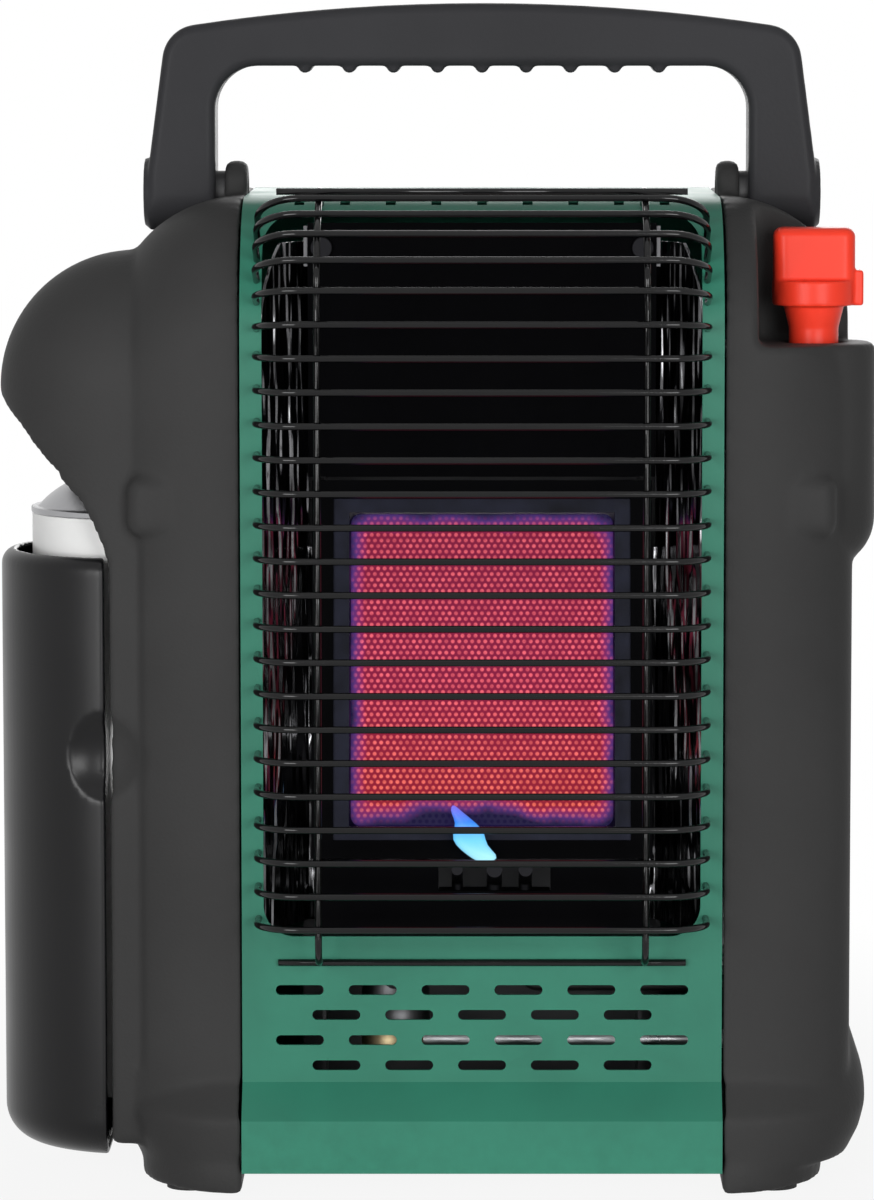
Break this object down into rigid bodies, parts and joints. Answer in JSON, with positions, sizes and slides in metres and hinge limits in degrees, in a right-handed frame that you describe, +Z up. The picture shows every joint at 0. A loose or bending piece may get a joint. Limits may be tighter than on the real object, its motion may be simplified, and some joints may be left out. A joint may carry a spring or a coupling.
{
  "type": "portable propane heater",
  "caption": "Portable radiant propane heater with a ceramic burner behind a wire guard, a folding carry handle, a push-and-turn knob and a screw-in gas cartridge behind a hinged cover.",
  "frame": {"origin": "on the ground, under the middle of the footprint's bounding box", "axes": "+Z up, -Y the side with the burner and its guard, +X to the side with the control knob"},
  "size_m": [0.2845, 0.195, 0.381],
  "materials": {
    "housing_plastic": "grained near-black grey",
    "cover_plastic": "satin, slightly purple grey",
    "handle_plastic": "grained black",
    "knob_plastic": "satin red",
    "panel_paint": "green enamel, satin",
    "guard_wire": "glossy black enamelled wire",
    "black_enamel": "glossy black stove enamel",
    "plain_steel": "plain sheet steel",
    "screw_steel": "zinc plated",
    "tile_ceramic": "porous tile, glowing when lit",
    "gasket_fibre": "ceramic fibre",
    "electrode_ceramic": "glazed white",
    "gas_brass": "turned brass",
    "pipe_aluminium": "drawn tube",
    "lead_wire": "insulated lead",
    "cartridge_paint": "white enamel",
    "cartridge_steel": "bare steel dome",
    "pad_rubber": "moulded rubber",
    "zinc_alloy": "die-cast",
    "igniter_plastic": "black moulding"
  },
  "bodies": {
    "casing": {"front_panel": "panel_paint", "back_cover": "panel_paint", "base_tray": "plain_steel", "back_screws": "screw_steel", "foot_pads": "pad_rubber", "wire_guard": "guard_wire", "right_housing": "housing_plastic", "left_housing": "housing_plastic", "burner_surround": "black_enamel", "burner_housing": "plain_steel", "ceramic_tile": "tile_ceramic", "tile_gasket": "gasket_fibre", "mixer_tube": "plain_steel", "gas_jet": "gas_brass", "burner_brackets": "plain_steel", "upper_deflector": "black_enamel", "deflector_screws": "screw_steel", "lower_apron": "black_enamel", "reflector_right": "black_enamel", "reflector_left": "black_enamel", "pilot_bracket": "plain_steel", "pilot_burner": "screw_steel", "thermocouple": "gas_brass", "spark_electrode": "electrode_ceramic", "heat_shield": "plain_steel", "tip_over_switch": "igniter_plastic", "regulator_body": "zinc_alloy", "regulator_cap": "zinc_alloy", "inlet_seal": "pad_rubber", "regulator_bracket": "plain_steel", "cover_hinge_pins": "screw_steel", "handle_pivot_pins": "screw_steel", "handle_washers": "igniter_plastic", "control_valve": "zinc_alloy", "valve_bracket": "plain_steel", "piezo_igniter": "igniter_plastic", "supply_pipe": "pipe_aluminium", "burner_pipe": "pipe_aluminium", "pilot_pipe": "pipe_aluminium", "thermocouple_lead": "gas_brass", "ignition_lead": "lead_wire", "switch_lead": "lead_wire"},
    "handle": {"carry_handle": "handle_plastic"},
    "knob_push": {"stem_collar": "screw_steel", "knob_spring": "screw_steel"},
    "knob": {"control_knob": "knob_plastic", "valve_stem": "gas_brass"},
    "cover": {"cartridge_cover": "cover_plastic"},
    "cartridge": {"cartridge_body": "cartridge_paint", "cartridge_dome": "cartridge_steel", "cartridge_valve": "gas_brass"}
  },
  "joints": [
    {"name": "handle_fold", "type": "hinge", "parent": "casing", "child": "handle", "pos_m": [0.01515, 0.00547, 0.319], "axis": [1, 0, 0], "range_deg": [-70, 0]},
    {"name": "knob_press", "type": "slide", "parent": "casing", "child": "knob_push", "axis": [0, 0, -1], "range_m": [0, 0.0035], "stiffness_N_per_m": 900, "springref_m": -0.002, "deforming": ["knob_spring"]},
    {"name": "knob_turn", "type": "hinge", "parent": "knob_push", "child": "knob", "pos_m": [0.12215, -0.04053, 0.29], "axis": [0, 0, 1], "range_deg": [-240, 0]},
    {"name": "cover_hinge", "type": "hinge", "parent": "casing", "child": "cover", "pos_m": [-0.10905, 0.03037, 0.105], "axis": [0, 0, 1], "range_deg": [-105, 0]},
    {"name": "cartridge_seat", "type": "slide", "parent": "casing", "child": "cartridge", "axis": [0, 0, -1], "range_m": [0, 0.0095]}
  ]
}
